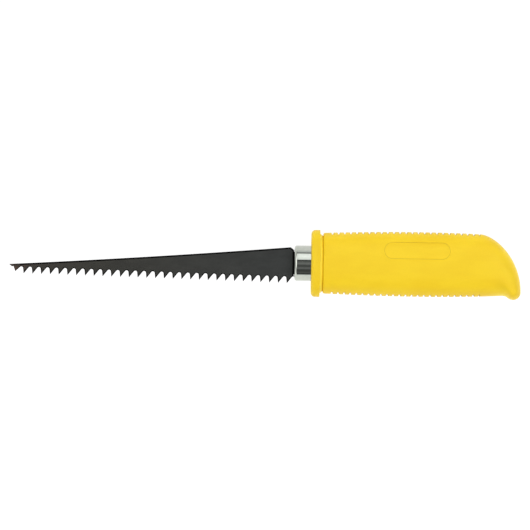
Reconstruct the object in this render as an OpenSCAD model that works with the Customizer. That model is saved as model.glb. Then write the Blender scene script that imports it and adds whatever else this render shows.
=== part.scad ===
// Drywall saw with a fixed pointed blade, lying flat on its side.
// Millimetres. X runs along the saw, blade tip to -X and pommel to +X. The teeth face -Y.
// Z is the thickness. The origin is under the middle of the saw, on the surface it rests on.
// Inside the modules, positions are measured from the middle of the ferrule's front face.

/* [Blade] */
// Exposed length of the blade, from the point to the ferrule
blade_len = 152.4; // [146:0.1:160]
// Thickness of the steel
blade_t = 1.25; // [0.9:0.05:1.3]
// Height of the point above the saw's axis (negative is towards the teeth)
point_y = -2.7; // [-3.3:0.1:-2.3]
// Height of the spine above the axis, at the heel
heel_y = 8.45; // [8:0.05:9]
// Hollow of the spine below a straight line, at its middle
spine_hollow = 0.55; // [0:0.05:0.8]
// Distance from the line of tooth tips to the axis, at the heel
tooth_line_y = -10.95; // [-11.2:0.05:-10.5]
// Slope of the line of tooth tips, in degrees
tooth_line_angle = 1.29; // [1.2:0.01:1.4]
// Distance between tooth tips
tooth_pitch = 4.69; // [4.5:0.01:4.8]
// Slope of the long back of a tooth, in degrees from the line of tips
tooth_back_angle = 52.5; // [50:0.5:55]
// Lean of the short cutting face of a tooth, in degrees from upright
tooth_face_angle = 7; // [4:0.5:10]
// Radius at the bottom of the gap between two teeth
gullet_r = 1; // [0.8:0.05:1.1]

/* [Tang] */
// Length of the tang behind the ferrule's front face
tang_len = 44; // [42:0.5:45]
// Height of the tang at the heel
tang_h = 12; // [10:0.5:12]
// Height of the tang at its end
tang_end_h = 9; // [8:0.5:10]
// Diameter of the two pins that hold the tang
pin_d = 4; // [3:0.1:4.2]
// Length of each pin
pin_len = 12; // [9:0.5:13]
// Distance of the front pin behind the ferrule's front face
front_pin_x = 23.5; // [22:0.5:24]
// Distance of the rear pin behind the ferrule's front face
rear_pin_x = 38.5; // [38:0.5:39]

/* [Ferrule] */
// Outer diameter of the ferrule
ferrule_d = 19; // [18:0.1:20]
// Length of the ferrule
ferrule_len = 8.9; // [8:0.1:10]
// Thickness of the ferrule's wall
ferrule_wall = 0.8; // [0.6:0.1:1]
// Radius of the ferrule's outer front edge
ferrule_edge_r = 1.3; // [0.6:0.1:1.6]

/* [Bolster] */
// Height of the flange
flange_h = 35.8; // [35:0.1:37]
// Length of the flange along the saw
flange_len = 4.7; // [4:0.1:5.5]
// Radius of the flange's front edge
flange_edge_r = 2.2; // [1:0.1:2.4]
// Length of the waist between the flange and the grip
waist_len = 1.7; // [1:0.1:2.4]
// Depth of the waist below the flange, where it meets the grip
waist_drop = 3.2; // [2:0.1:3.4]

/* [Grip] */
// Overall length from the ferrule's front face to the end of the pommel
handle_len = 121; // [120:0.1:122]
// Crown of each grip half above the parting plane
crown_h = 12.2; // [11.8:0.1:13]
// Distance from the parting plane down to the flat that the saw rests on
rest_drop = 11.9; // [11.4:0.1:11.9]
// Wall thickness of the grip halves
wall = 2.6; // [2:0.1:3]
// Number of grip notches on each edge
notch_count = 25; // [10:1:25]
// Distance between grip notches
notch_pitch = 3.28; // [3:0.01:3.28]
// Width of a grip notch
notch_w = 1.05; // [0.8:0.05:1.6]
// Depth of a grip notch
notch_depth = 1.05; // [0.6:0.05:1.3]

/* [Plain panel] */
// Length of the recessed panel on the upper grip half
panel_len = 35; // [20:1:40]
// Height of the recessed panel
panel_h = 8.8; // [6:0.1:10]
// Depth of the recess
panel_depth = 0.35; // [0.2:0.05:0.6]

/* [Hidden] */
$fn = 64;

// Seat of the saw: its axis stands over the resting surface, its middle over the origin.
beak_r = 4;
beak_at = [handle_len - beak_r, -14];
lowest_y = min(beak_at[1] - beak_r, -flange_h / 2);
seat = [(blade_len - handle_len) / 2, -(flange_h / 2 + lowest_y) / 2, rest_drop];

// Fits.
slip = 0.05;
press = 0.02;
loose = 0.1;
over = 1;
thin = 0.01;
room = 60;

// Blade: the chamfered corner at the heel, the sloped nose and its short first tooth.
heel_gap = 0.2;
heel_corner = [1.85, 1.5];
spine_steps = 12;
first_tip_x = 3.1 - blade_len;
last_gap = 3.6;
tooth_count = 1 + floor((-first_tip_x - last_gap) / tooth_pitch);
gullet_steps = 6;
// Corners under the point, measured from it: the short first tooth, its root and the chin.
nose = [[3.3, -3.8], [2.3, -1], [1.5, -1.3]];
tang_slot = [tang_h + 0.6, blade_t + 2 * slip];

// Height of the grip's mouth, from the middle of the saw to its lower edge, twice over.
mouth_h = 32.1;

// Bolster: spigot in the ferrule, plug in the grip, housing round the tang, locking collar.
flange_x = ferrule_len;
waist_x = flange_x + flange_len;
grip_x = waist_x + waist_len;
flange_half = [flange_h / 2, crown_h];
plug_len = 3.7;
plug_gap = 0.25;
plug_half = [mouth_h / 2, crown_h] - (wall + plug_gap) * [1, 1];
pin_chamfer = 0.4;
housing_d = 16;
housing_end = tang_len + 2.3;
collar_d = 20;
collar_len = 3.6;
collar_x = (front_pin_x + rear_pin_x - collar_len) / 2;

// Grip outline: cubic curves through four points each.
pommel_x = 99;
fillet_r = 5;
low_end_y = -15.85;
fillet_drop = beak_at[1] - (low_end_y - fillet_r);
fillet_lean = acos(fillet_drop / (fillet_r + beak_r));
fillet_at = [beak_at[0] - (fillet_r + beak_r) * sin(fillet_lean), low_end_y - fillet_r];
top_curve = even_curve(grip_x, pommel_x, [16.4, 17.55, 17.95, 16.9]);
low_curve = even_curve(grip_x, fillet_at[0], [-mouth_h / 2, -17.15, -17.7, low_end_y]);
pommel_curve = [[pommel_x, 16.9], [107, 16.5], [handle_len, 4.2], beak_at + [beak_r, 0]];
crown_curve = [[pommel_x, 0.2], [107, 0.2], [112, -5], beak_at + [-0.8, 0.7]];
low_split = (pommel_x - grip_x) / (fillet_at[0] - grip_x);
fillet_from = 0.7;
crown_fall = 2;

// Grip section: a rounded shape between an ellipse and a box.
side_power = 2 / 2.5;
face_power = 2 / 2.3;
front_edge_r = 0.8;
arc_steps = 8;
body_steps = 16;
pommel_steps = 10;
beak_steps = 7;
corner_steps = 3;

// Inside the grip: cross webs, one long web, and pegs that fit sockets.
web_t = 2;
trap_webs = [collar_x - web_t - loose, collar_x + collar_len + loose];
cross_webs = [50, 71, 92];
long_web = [50, 108];
peg_x = [60.5, 81.5, 100];
peg_d = 5;
peg_len = 7;
socket_wall = 1.5;

first_notch_x = 20.15;
panel_at = [65.2, 7.5];

// Curve through evenly spaced x positions, given the four heights that shape it.
function even_curve(x0, x1, heights) = [for (i = [0:3]) [x0 + (x1 - x0) * i / 3, heights[i]]];

function on_curve(c, t) =
    pow(1 - t, 3) * c[0] + 3 * t * pow(1 - t, 2) * c[1] + 3 * t * t * (1 - t) * c[2] + pow(t, 3) * c[3];

function tooth_line(x) = tooth_line_y - x * tan(tooth_line_angle);

function polar(r, angle) = r * [cos(angle), sin(angle)];

// Grip outline at a station: 0 is the front, 1 the start of the pommel, 2 the beak.
function upper_edge(s) = s <= 1 ? on_curve(top_curve, s) : on_curve(pommel_curve, s - 1);

function lower_edge(s) =
    s <= 1 ? on_curve(low_curve, s * low_split) :
    s <= 1 + fillet_from ? on_curve(low_curve, low_split + (1 - low_split) * (s - 1) / fillet_from) :
    fillet_at + polar(fillet_r, 90 - fillet_lean * (s - 1 - fillet_from) / (1 - fillet_from));

function crown_point(s) = s <= 1 ? [grip_x + (pommel_x - grip_x) * s, 0.2] : on_curve(crown_curve, s - 1);

function crown_at(s) = crown_h - (s <= 1 ? 0 : crown_fall * pow(s - 1, 2));

// Point on the arc from an edge (angle 0) over to the crown (angle 90), moved inwards by inset.
function arc_point(edge, crown, height, inset, angle) =
    let(
        reach = (1 - inset / norm(edge - crown)) * pow(max(cos(angle), 0), side_power),
        at = crown + (edge - crown) * reach
    )
    [at[0], at[1], (height - inset) * pow(sin(angle), face_power)];

function quarter(edge, s, inset) =
    [for (i = [0:arc_steps]) arc_point(edge, crown_point(s), crown_at(s), inset, 90 * i / arc_steps)];

// Half ring over one station, from the upper edge over the crown to the lower edge.
function ring(s, inset) =
    let(up = quarter(upper_edge(s), s, inset), low = quarter(lower_edge(s), s, inset))
    concat(up, [for (i = [1:arc_steps]) low[arc_steps - i]]);

// Arcs that close the surface round the beak, without the crown point that they share.
function beak_arc(j, inset) =
    let(edge = beak_at + polar(beak_r, -(90 + fillet_lean) * j / beak_steps))
    [for (i = [0:arc_steps - 1]) quarter(edge, 2, inset)[i]];

// Half a grip as one closed surface over a list of [station, inset] pairs.
module half_grip(stations) {
    last = len(stations) - 1;
    row = 2 * arc_steps + 1;
    fan = (last + 1) * row;
    apex = last * row + arc_steps;
    points = concat(
        [for (k = [0:last]) each ring(stations[k][0], stations[k][1])],
        [for (j = [1:beak_steps - 1]) each beak_arc(j, stations[last][1])]
    );
    function beak_id(j, i) =
        i == arc_steps ? apex :
        j == 0 ? last * row + i :
        j == beak_steps ? last * row + row - 1 - i :
        fan + (j - 1) * arc_steps + i;
    sides = [for (k = [0:last - 1], i = [0:row - 2]) let(a = k * row + i) each
        [[a, a + row + 1, a + 1], [a, a + row, a + row + 1]]];
    beak = [for (j = [0:beak_steps - 1], i = [0:arc_steps - 1]) each concat(
        [[beak_id(j, i), beak_id(j + 1, i), beak_id(j, i + 1)]],
        i == arc_steps - 1 ? [] : [[beak_id(j, i + 1), beak_id(j + 1, i), beak_id(j + 1, i + 1)]]
    )];
    front = [for (i = [0:row - 1]) i];
    parting = [for (k = [0:last - 1]) let(a = k * row) [a, a + row - 1, a + 2 * row - 1, a + row]];
    beak_end = [for (j = [0:beak_steps]) beak_id(beak_steps - j, 0)];
    polyhedron(points, concat(sides, beak, parting, [front, beak_end]));
}

function stations_after(s0, inset) = concat(
    [for (i = [1:body_steps]) [s0 + (1 - s0) * i / body_steps, inset]],
    [for (i = [1:pommel_steps]) [1 + i / pommel_steps, inset]]
);

// The outside of a grip half, with its front edge rounded.
module grip_outside(inset = 0) {
    corner = front_edge_r / (pommel_x - grip_x);
    front = [for (i = [0:corner_steps])
        let(a = 90 * i / corner_steps)
        [corner * (1 - cos(a)), inset + front_edge_r * (1 - sin(a))]];
    half_grip(concat(front, stations_after(corner, inset)));
}

// The hollow in a grip half, open at the front.
module grip_hollow() {
    start = -over / (pommel_x - grip_x);
    half_grip(concat([[start, wall]], stations_after(start, wall)));
}

// Cylinder along the saw, starting at x.
module rod(x, len, d) {
    translate([x, 0, 0]) rotate([0, 90, 0]) cylinder(d = d, h = len);
}

module web_across(x) {
    translate([x, -room / 2, -over]) cube([web_t, room, room]);
}

module grip_webs() {
    for (x = concat(trap_webs, cross_webs)) web_across(x);
    translate([long_web[0], -web_t / 2, -over]) cube([long_web[1] - long_web[0], web_t, room]);
}

// Round-bottomed notch across an edge of the grip; side is 1 for the upper edge, -1 for the lower.
module notch(at, side) {
    floor_y = side * (notch_w / 2 - notch_depth);
    translate([at[0], at[1] + floor_y, 0]) linear_extrude(height = 2 * room, center = true) {
        circle(d = notch_w);
        translate([-notch_w / 2, side < 0 ? -notch_w * 2 : 0]) square([notch_w, notch_w * 2]);
    }
}

module grip_notches() {
    for (i = [0:notch_count - 1]) {
        x = first_notch_x + i * notch_pitch;
        notch(on_curve(top_curve, (x - grip_x) / (pommel_x - grip_x)), 1);
        notch(on_curve(low_curve, (x - grip_x) / (fillet_at[0] - grip_x)), -1);
    }
}

// One grip half above the parting plane. The children are bosses that stand in its hollow.
module grip_shell() {
    difference() {
        grip_outside();
        difference() {
            grip_hollow();
            grip_webs();
            children();
        }
        grip_notches();
        rod(0, housing_end + loose, housing_d + 2 * loose);
    }
}

// Shallow round-ended recess that follows the crown of the grip.
module panel_cut() {
    end_x = (panel_len - panel_h) / 2;
    difference() {
        translate([panel_at[0], panel_at[1], crown_h / 2]) linear_extrude(height = crown_h) {
            square([2 * end_x, panel_h], center = true);
            for (x = [-end_x, end_x]) translate([x, 0]) circle(d = panel_h);
        }
        grip_outside(panel_depth);
    }
}

// Cross-section of the bolster as [y, z] points inside half sizes h, flat where the saw rests.
function section(h) = [for (i = [0:4 * arc_steps - 1])
    let(a = 90 * i / arc_steps, c = cos(a), d = sin(a))
    [h[0] * sign(c) * pow(abs(c), side_power), max(h[1] * sign(d) * pow(abs(d), face_power), -rest_drop)]];

module slice(x, len, h) {
    translate([x, 0, 0]) rotate([90, 0, 90]) linear_extrude(height = len) polygon(section(h));
}

module flange() {
    hull() {
        for (i = [0:corner_steps]) {
            a = 90 * i / corner_steps;
            inset = flange_edge_r * (1 - sin(a));
            slice(flange_x + flange_edge_r * (1 - cos(a)), thin, flange_half - [inset, inset]);
        }
        slice(waist_x - thin, thin, flange_half);
    }
}

module waist() {
    hull() {
        slice(waist_x - thin, thin, flange_half - waist_drop * [0.6, 0.3]);
        slice(grip_x - thin, thin, flange_half - waist_drop * [1, 0.5]);
    }
}

// Gap behind a tooth whose tip is at the origin: a rounded end between two flanks.
function gullet_centre() =
    let(
        half = (90 + tooth_face_angle - tooth_back_angle) / 2,
        tilt = 45 - (tooth_back_angle + tooth_face_angle) / 2,
        apex = polar(tooth_pitch * cos(tooth_face_angle) / sin(2 * half), tooth_back_angle)
    )
    apex - gullet_r / sin(half) * [sin(tilt), cos(tilt)];

// The rounded end, from the given angle over to the back of the tooth.
function gullet_arc(from) =
    let(to = 90 + tooth_back_angle)
    [for (j = [0:gullet_steps]) gullet_centre() + polar(gullet_r, from + (to - from) * j / gullet_steps)];

// Turns a point from the line of tooth tips into the saw's own directions, at tooth i.
function at_tooth(i, p) =
    let(x = first_tip_x + i * tooth_pitch * cos(tooth_line_angle), c = cos(tooth_line_angle))
    [x, tooth_line(x)] + [p[0] * c + p[1] * sin(tooth_line_angle), p[1] * c - p[0] * sin(tooth_line_angle)];

module blade_outline() {
    spine_end = -heel_gap - heel_corner[0];
    spine = [for (i = [0:spine_steps])
        let(t = i / spine_steps)
        [-blade_len + t * (blade_len + spine_end),
            point_y + t * (heel_y - point_y) - 4 * spine_hollow * t * (1 - t)]];
    last = tooth_count - 1;
    heel_arc = [for (p = gullet_arc(95)) at_tooth(last, p)];
    heel = [[-heel_gap, heel_y - heel_corner[1]], [-heel_gap, heel_arc[0][1]]];
    teeth = [for (k = [1:last]) each concat(
        [at_tooth(last - k + 1, [0, 0])],
        [for (p = gullet_arc(tooth_face_angle)) at_tooth(last - k, p)]
    )];
    polygon(concat(spine, heel, heel_arc, teeth, [for (p = nose) [-blade_len, point_y] + p]));
}

module tang_outline() {
    polygon([[-over, -tang_h / 2], [-over, tang_h / 2], [ferrule_len, tang_h / 2],
        [tang_len - over, tang_end_h / 2], [tang_len, tang_end_h / 2 - over],
        [tang_len, over - tang_end_h / 2], [tang_len - over, -tang_end_h / 2], [ferrule_len, -tang_h / 2]]);
}

module pin_holes(d) {
    for (x = [front_pin_x, rear_pin_x]) translate([x, 0, -room / 2]) cylinder(d = d, h = room);
}

module tang_pin(x) {
    r = pin_d / 2;
    color("silver") translate(seat + [x, 0, -pin_len / 2]) rotate_extrude()
        polygon([[0, 0], [r - pin_chamfer, 0], [r, pin_chamfer], [r, pin_len - pin_chamfer],
            [r - pin_chamfer, pin_len], [0, pin_len]]);
}

module blade() {
    color("dimgray") translate(seat) difference() {
        translate([0, 0, -blade_t / 2]) linear_extrude(height = blade_t) {
            blade_outline();
            tang_outline();
        }
        pin_holes(pin_d + loose);
    }
}

// Drawn cup whose front plate has a slot for the tang.
module ferrule() {
    r = ferrule_d / 2;
    color("lightgray") translate(seat) difference() {
        rotate([0, 90, 0]) rotate_extrude() difference() {
            union() {
                square([r - ferrule_edge_r, ferrule_len]);
                translate([0, ferrule_edge_r]) square([r, ferrule_len - ferrule_edge_r]);
                translate([r - ferrule_edge_r, ferrule_edge_r]) circle(r = ferrule_edge_r);
            }
            translate([-over, ferrule_wall]) square([r - ferrule_wall + over, ferrule_len]);
        }
        translate([-over, -tang_slot[0] / 2, -tang_slot[1] / 2 - loose])
            cube([2 * over, tang_slot[0], tang_slot[1] + 2 * loose]);
    }
}

// Nose of the handle: it fills the ferrule, forms the flange and holds the tang in the grip.
module bolster() {
    spigot_x = ferrule_wall + loose;
    color("gold") translate(seat) difference() {
        union() {
            rod(spigot_x, flange_x - spigot_x + over, ferrule_d - 2 * ferrule_wall - 2 * press);
            flange();
            waist();
            slice(grip_x - thin, plug_len, plug_half);
            rod(grip_x, housing_end - grip_x, housing_d);
            rod(collar_x, collar_len, collar_d);
        }
        translate([0, -tang_slot[0] / 2, -tang_slot[1] / 2]) cube([room, tang_slot[0], tang_slot[1]]);
        pin_holes(pin_d + press);
    }
}

// Upper grip half, with the pegs.
module left_grip_shell() {
    color("gold") translate(seat) {
        difference() {
            grip_shell() for (x = peg_x) translate([x, 0]) cylinder(d = peg_d, h = room);
            panel_cut();
        }
        for (x = peg_x) translate([x, 0, -peg_len]) cylinder(d = peg_d, h = peg_len + over);
    }
}

// Lower grip half, with the sockets and the flat that the saw rests on.
module right_grip_shell() {
    color("goldenrod") translate(seat) mirror([0, 0, 1]) difference() {
        intersection() {
            grip_shell() for (x = peg_x) translate([x, 0]) cylinder(d = peg_d + 2 * socket_wall, h = room);
            translate([0, -room / 2, 0]) cube([handle_len + over, room, rest_drop]);
        }
        for (x = peg_x) translate([x, 0, -over]) cylinder(d = peg_d + loose, h = peg_len + 2 * over);
    }
}

module front_tang_pin() {
    tang_pin(front_pin_x);
}

module rear_tang_pin() {
    tang_pin(rear_pin_x);
}

blade();
ferrule();
bolster();
left_grip_shell();
right_grip_shell();
front_tang_pin();
rear_tang_pin();
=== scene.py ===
"""Looks of a fixed-blade drywall saw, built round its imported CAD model.

Shapes are worked out in millimetres, measured from the middle of the ferrule's front face:
u runs along the saw towards the pommel, v towards the spine of the blade, and z up from the
plane where the two grip halves meet. Build.object() turns them into metres in the CAD's frame.
"""

import math

import bmesh
import bpy
import numpy as np
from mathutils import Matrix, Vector


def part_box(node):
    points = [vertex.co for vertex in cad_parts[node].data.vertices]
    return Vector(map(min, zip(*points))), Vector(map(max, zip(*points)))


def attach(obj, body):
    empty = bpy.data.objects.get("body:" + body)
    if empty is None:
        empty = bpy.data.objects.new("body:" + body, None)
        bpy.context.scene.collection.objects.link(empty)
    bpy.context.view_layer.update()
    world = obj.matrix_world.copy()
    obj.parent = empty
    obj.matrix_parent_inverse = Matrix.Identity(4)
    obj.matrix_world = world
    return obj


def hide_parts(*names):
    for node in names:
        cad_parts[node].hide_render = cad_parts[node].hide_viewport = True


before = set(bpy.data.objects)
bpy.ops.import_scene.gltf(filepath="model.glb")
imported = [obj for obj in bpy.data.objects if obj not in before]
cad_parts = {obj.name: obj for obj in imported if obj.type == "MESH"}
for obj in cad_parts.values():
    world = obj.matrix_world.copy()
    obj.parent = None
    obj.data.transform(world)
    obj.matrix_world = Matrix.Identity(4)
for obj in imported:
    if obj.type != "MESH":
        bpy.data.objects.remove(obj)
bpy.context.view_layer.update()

MM = 0.001


def cad_size(node, axis):
    """Millimetres that a CAD node measures along an axis."""
    low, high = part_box(node)
    return (high[axis] - low[axis]) / MM


# ---------------------------------------------------------------- sizes from the CAD model

ferrule_low, ferrule_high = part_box("ferrule")
blade_low, blade_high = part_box("blade")
bolster_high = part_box("bolster")[1]
upper_low, upper_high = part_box("left_grip_shell")
lower_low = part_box("right_grip_shell")[0]

seat_y = (ferrule_low.y + ferrule_high.y) / 2
seat_z = (ferrule_low.z + ferrule_high.z) / 2
SEAT = np.array([ferrule_low.x, seat_y, seat_z])
FERRULE_R = cad_size("ferrule", 1) / 2
FERRULE_LEN = cad_size("ferrule", 0)
BLADE_T = cad_size("blade", 2)
BLADE_LEN = (SEAT[0] - blade_low.x) / MM
TANG_LEN = (blade_high.x - SEAT[0]) / MM
GRIP_X = (upper_low.x - SEAT[0]) / MM
HANDLE_LEN = (upper_high.x - SEAT[0]) / MM
CROWN_H = (upper_high.z - SEAT[2]) / MM
REST_DROP = (SEAT[2] - lower_low.z) / MM
LOWEST_V = (lower_low.y - SEAT[1]) / MM
FLANGE_HALF = np.array([cad_size("bolster", 1) / 2, CROWN_H])
HOUSING_END = (bolster_high.x - SEAT[0]) / MM

# ---------------------------------------------------------------- driving sizes, in millimetres

FERRULE_WALL = 0.8
FERRULE_EDGE_R = 1.3
FERRULE_CORNER_R = 0.4
RIM_CHAMFER = 0.12
SLOT_HALF = np.array([6.3, 0.775])

FLANGE_LEN = 4.7
FLANGE_EDGE_R = 2.2
FLANGE_REAR_R = 0.3
FLANGE_BAND = 0.4
WAIST_DROP = 3.2
WAIST_FALL, WAIST_FALL_END = np.array([0.6, 0.3]), np.array([1.0, 0.5])
SPIGOT_GAP = 0.02
SPIGOT_END_GAP = 0.1
SPIGOT_CHAMFER = 0.3
PLUG_LEN = 3.7
PLUG_HALF = np.array([13.2, 9.35])
HOUSING_R = 8.0
COLLAR_R = 10.0
COLLAR_FROM, COLLAR_TO = 29.2, 32.8
TANG_SLOT_HALF = np.array([6.3, 0.675])

POMMEL_X = 99.0
BEAK_R = 4.0
BEAK_AT = np.array([HANDLE_LEN - BEAK_R, -14.0])
FILLET_R = 5.0
LOW_END_V = -15.85
WALL = 2.6
FRONT_EDGE_R = 0.8
SIDE_POWER = 2 / 2.5
FACE_POWER = 2 / 2.3
CROWN_V = 0.2
CROWN_FALL = 2.0

NOTCHES = 25
NOTCH_PITCH = 3.28
FIRST_NOTCH = 20.15
NOTCH_W = 1.05
NOTCH_DEPTH = 1.05
LIP_R = 0.28
SEAM = 0.12
RAIL_DEPTH = 1.4

PANEL_AT = np.array([65.2, 7.5])
PANEL_LEN, PANEL_H = 35.0, 8.8
PANEL_DEPTH = 0.35
PANEL_LIP_R = 0.12
PANEL_FILLET_R = 0.14
PANEL_DRAFT = 0.02
PANEL_MARGIN = 1.0

POINT_V = -2.7
HEEL_V = 8.45
SPINE_HOLLOW = 0.55
TOOTH_LINE_V = -10.95
TOOTH_LINE_ANGLE = math.radians(1.29)
TOOTH_PITCH = 4.69
BACK_ANGLE = math.radians(52.5)
FACE_ANGLE = math.radians(7)
GULLET_R = 1.0
HEEL_GAP = 0.2
HEEL_CORNER = np.array([1.85, 1.5])
FIRST_TIP_U = 3.1 - BLADE_LEN
LAST_GAP = 3.6
TEETH = 1 + int((-FIRST_TIP_U - LAST_GAP) / TOOTH_PITCH)
NOSE = np.array([[3.3, -3.8], [2.3, -1.0], [1.5, -1.3]])
BEHIND_NOSE = 1.0
CHAMFER = 0.68
NOSE_CHAMFER, NOSE_CHAMFER_LEN = 0.35, 1.5
CHAMFER_DROP = 0.3
PAINTED_SHADE_BORDER = 0.25
TOOTH_SET = 0.3
SET_BELOW = 0.8
TANG_HALF, TANG_END_HALF = 6.0, 4.5
TANG_END_CHAMFER = 1.0
TANG_NECK_IN = 0.05
TANG_NECK_FROM, TANG_NECK_TO = 0.9, 1.5

# Tones, which the yellow plastic turns into darker (above 0) and paler (below 0) colours: painted shade
# in the notches, on the panel's edge, the flange and the seam and round the ferrule's foot, and painted
# light on the waist and the pommel's rim.
NOTCH_PAINTED_SHADE = 0.5
PANEL_EDGE_PAINTED_SHADE = 0.6
BAND_PAINTED_SHADE, RIM_PAINTED_LIGHT = 0.1, -0.45
FLANGE_PAINTED_SHADE, WAIST_PAINTED_LIGHT, SEAM_PAINTED_SHADE = 0.04, -0.9, 0.6
FERRULE_FOOT_PAINTED_SHADE = 0.5
FOOT_FROM, FOOT_TO = 0.05, 0.25


# ---------------------------------------------------------------- mesh helpers


SAME_PLACE = 1e-7


class Build:
    """Vertices and faces of one piece, with a tone from -1 to 1 at each vertex that its material turns
    into painted shade (above 0) or painted light (below 0).
    """

    def __init__(self):
        self.points, self.values, self.faces = [], [], []

    def add(self, points, value=0.0):
        first = len(self.points)
        self.points.extend([tuple(p) for p in points])
        values = np.broadcast_to(np.asarray(value, float), (len(points),))
        self.values.extend(values.tolist())
        return list(range(first, first + len(points)))

    def strip(self, a, b, closed=False):
        """Quads between two rows with as many vertices each."""
        for i in range(len(a) - (0 if closed else 1)):
            j = (i + 1) % len(a)
            self.faces.append((a[i], a[j], b[j], b[i]))

    def zip_rows(self, a, b):
        """Triangles between two rows with different numbers of vertices, matched by length."""
        ta, tb = self.shares(a), self.shares(b)
        i = j = 0
        while i < len(a) - 1 or j < len(b) - 1:
            take_a = j == len(b) - 1 or (i < len(a) - 1 and ta[i + 1] <= tb[j + 1])
            if take_a:
                self.faces.append((a[i], a[i + 1], b[j]))
                i += 1
            else:
                self.faces.append((a[i], b[j + 1], b[j]))
                j += 1

    def shares(self, row):
        """How far along a row each of its vertices is, from 0 to 1."""
        at = np.array([self.points[k] for k in row])
        steps = np.linalg.norm(np.diff(at, axis=0), axis=1)
        return np.concatenate([[0], np.cumsum(steps)]) / steps.sum()

    def object(self, name, sharp_degrees):
        """The finished mesh, as an object that lies where the CAD piece does."""
        mesh = bpy.data.meshes.new(name)
        mesh.from_pydata([tuple(SEAT + np.array(p) * MM) for p in self.points], [], self.faces)
        shade = mesh.attributes.new("shade", "FLOAT", "POINT")
        shade.data.foreach_set("value", np.array(self.values, np.float32))
        shape = bmesh.new()
        shape.from_mesh(mesh)
        bmesh.ops.remove_doubles(shape, verts=shape.verts, dist=SAME_PLACE)
        bmesh.ops.dissolve_degenerate(shape, edges=shape.edges, dist=SAME_PLACE)
        bmesh.ops.delete(shape, geom=[v for v in shape.verts if not v.link_faces], context="VERTS")
        bmesh.ops.recalc_face_normals(shape, faces=shape.faces)
        shape.to_mesh(mesh)
        shape.free()
        mesh.polygons.foreach_set("use_smooth", [True] * len(mesh.polygons))
        mesh.set_sharp_from_angle(angle=math.radians(sharp_degrees))
        piece = bpy.data.objects.new(name, mesh)
        bpy.context.scene.collection.objects.link(piece)
        return piece


def finish_piece(piece, node, material):
    """Hangs a piece on the saw's only body, in place of a CAD node."""
    piece.data.materials.append(material)
    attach(piece, "root")
    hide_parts(node)


def polar(r, angle):
    return r * np.array([math.cos(angle), math.sin(angle)])


def on_curve(controls, t):
    """A point of the cubic curve with four control points."""
    a, b, c, d = np.asarray(controls, float)
    return (1 - t) ** 3 * a + 3 * t * (1 - t) ** 2 * b + 3 * t * t * (1 - t) * c + t**3 * d


def even_curve(x0, x1, heights):
    """Control points evenly spaced along the saw."""
    return [[x0 + (x1 - x0) * i / 3, h] for i, h in enumerate(heights)]


def smooth_step(t):
    t = np.clip(t, 0, 1)
    return t * t * (3 - 2 * t)


# ---------------------------------------------------------------- grip halves

FILLET_LEAN = math.acos((BEAK_AT[1] - (LOW_END_V - FILLET_R)) / (FILLET_R + BEAK_R))
FILLET_AT = np.array([BEAK_AT[0] - (FILLET_R + BEAK_R) * math.sin(FILLET_LEAN), LOW_END_V - FILLET_R])
FILLET_FROM = 0.7
TOP_CURVE = even_curve(GRIP_X, POMMEL_X, [16.4, 17.55, 17.95, 16.9])
LOW_CURVE = even_curve(GRIP_X, FILLET_AT[0], [-16.05, -17.15, -17.7, LOW_END_V])
POMMEL_CURVE = [[POMMEL_X, 16.9], [107, 16.5], [HANDLE_LEN, 4.2], BEAK_AT + [BEAK_R, 0]]
CROWN_CURVE = [[POMMEL_X, CROWN_V], [107, CROWN_V], [112, -5], BEAK_AT + [-0.8, 0.7]]
LOW_SPLIT = (POMMEL_X - GRIP_X) / (FILLET_AT[0] - GRIP_X)
RIB_SPAN = POMMEL_X - GRIP_X


# A station s goes from 0 at the front of the grip to 1 where the pommel starts and 2 at its end.


def upper_edge(s):
    return on_curve(TOP_CURVE, s) if s <= 1 else on_curve(POMMEL_CURVE, s - 1)


def lower_edge(s):
    if s <= 1:
        return on_curve(LOW_CURVE, s * LOW_SPLIT)
    if s <= 1 + FILLET_FROM:
        return on_curve(LOW_CURVE, LOW_SPLIT + (1 - LOW_SPLIT) * (s - 1) / FILLET_FROM)
    turned = FILLET_LEAN * (s - 1 - FILLET_FROM) / (1 - FILLET_FROM)
    return FILLET_AT + polar(FILLET_R, math.pi / 2 - turned)


def crown_point(s):
    return np.array([GRIP_X + RIB_SPAN * s, CROWN_V]) if s <= 1 else on_curve(CROWN_CURVE, s - 1)


def crown_height(s):
    return CROWN_H - (0 if s <= 1 else CROWN_FALL * (s - 1) ** 2)


def grip_arc(edge, s, inset, angles):
    """Points from an edge of the grip (angle 0) up to its crown (angle 90)."""
    crown = crown_point(s)
    reach = 1 - inset / np.linalg.norm(edge - crown)
    out = reach * np.clip(np.cos(angles), 0, 1) ** SIDE_POWER
    up = (crown_height(s) - inset) * np.sin(angles) ** FACE_POWER
    return np.column_stack([crown + np.outer(out, edge - crown), up])


def arc_width(edge, s):
    """Distance from an edge of the grip to its crown, seen from above."""
    return np.linalg.norm(edge - crown_point(s))


def landing(width, depth):
    """Angle at which a notch this deep runs out on the side of the grip."""
    return math.acos((1 - depth / width) ** (1 / SIDE_POWER))


def inward(width, height, angles):
    """Directions into the grip, as (towards the crown, down), for points of a side arc."""
    c, d = np.clip(np.cos(angles), 1e-9, 1), np.clip(np.sin(angles), 1e-9, 1)
    across = height * FACE_POWER * d ** (FACE_POWER - 1) * c
    down = width * SIDE_POWER * c ** (SIDE_POWER - 1) * d
    return across / np.hypot(across, down), down / np.hypot(across, down)


def rounding(distance, r):
    """How far a rounded lip of radius r has dropped, at a distance from the hole that it borders."""
    left = np.clip(1 - distance / r, 0, 1)
    return r * (1 - np.sqrt(1 - left**2))


# Rows of points on an arc: up the wall of a notch, then over the face. The face's rows nearest
# the notch move along with its end.
NOTCH_R = NOTCH_W / 2
SECOND_ROW = 0.4
SHIFTED_SHARE = 0.3
WALL_SHARES = np.array([0.2, 0.32, 0.45, 0.6, 0.75, 0.88, 1.0])
FACE_SHARES = np.concatenate([[0.002, 0.006, 0.012, 0.02], np.linspace(0.034, 0.97, 34), [0.987, 1.0]])


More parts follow.
